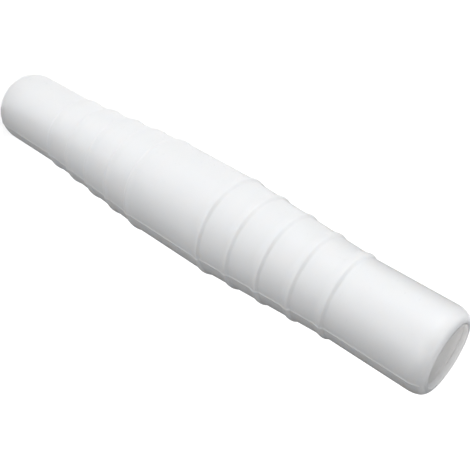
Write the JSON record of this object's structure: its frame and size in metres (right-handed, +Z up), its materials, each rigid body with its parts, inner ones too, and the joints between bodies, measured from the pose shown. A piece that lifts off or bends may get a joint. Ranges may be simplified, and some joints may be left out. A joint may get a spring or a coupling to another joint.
{
  "type": "pool hose adapter",
  "caption": "Hollow moulded tube that joins pool hoses of different bores: a thick barrel, stepped ribs that taper to plain spigots, and rounded ends with open mouths.",
  "frame": {"origin": "centre of the bottom end face, which the tube stands on", "axes": "+Z up along the tube's axis; +X towards one of the two mould seam lines, which are too fine for the solid"},
  "size_m": [0.0404, 0.0404, 0.2238],
  "materials": {
    "white_plastic": "moulded gloss"
  },
  "bodies": {
    "root": {"adapter_tube": "white_plastic"}
  },
  "joints": []
}
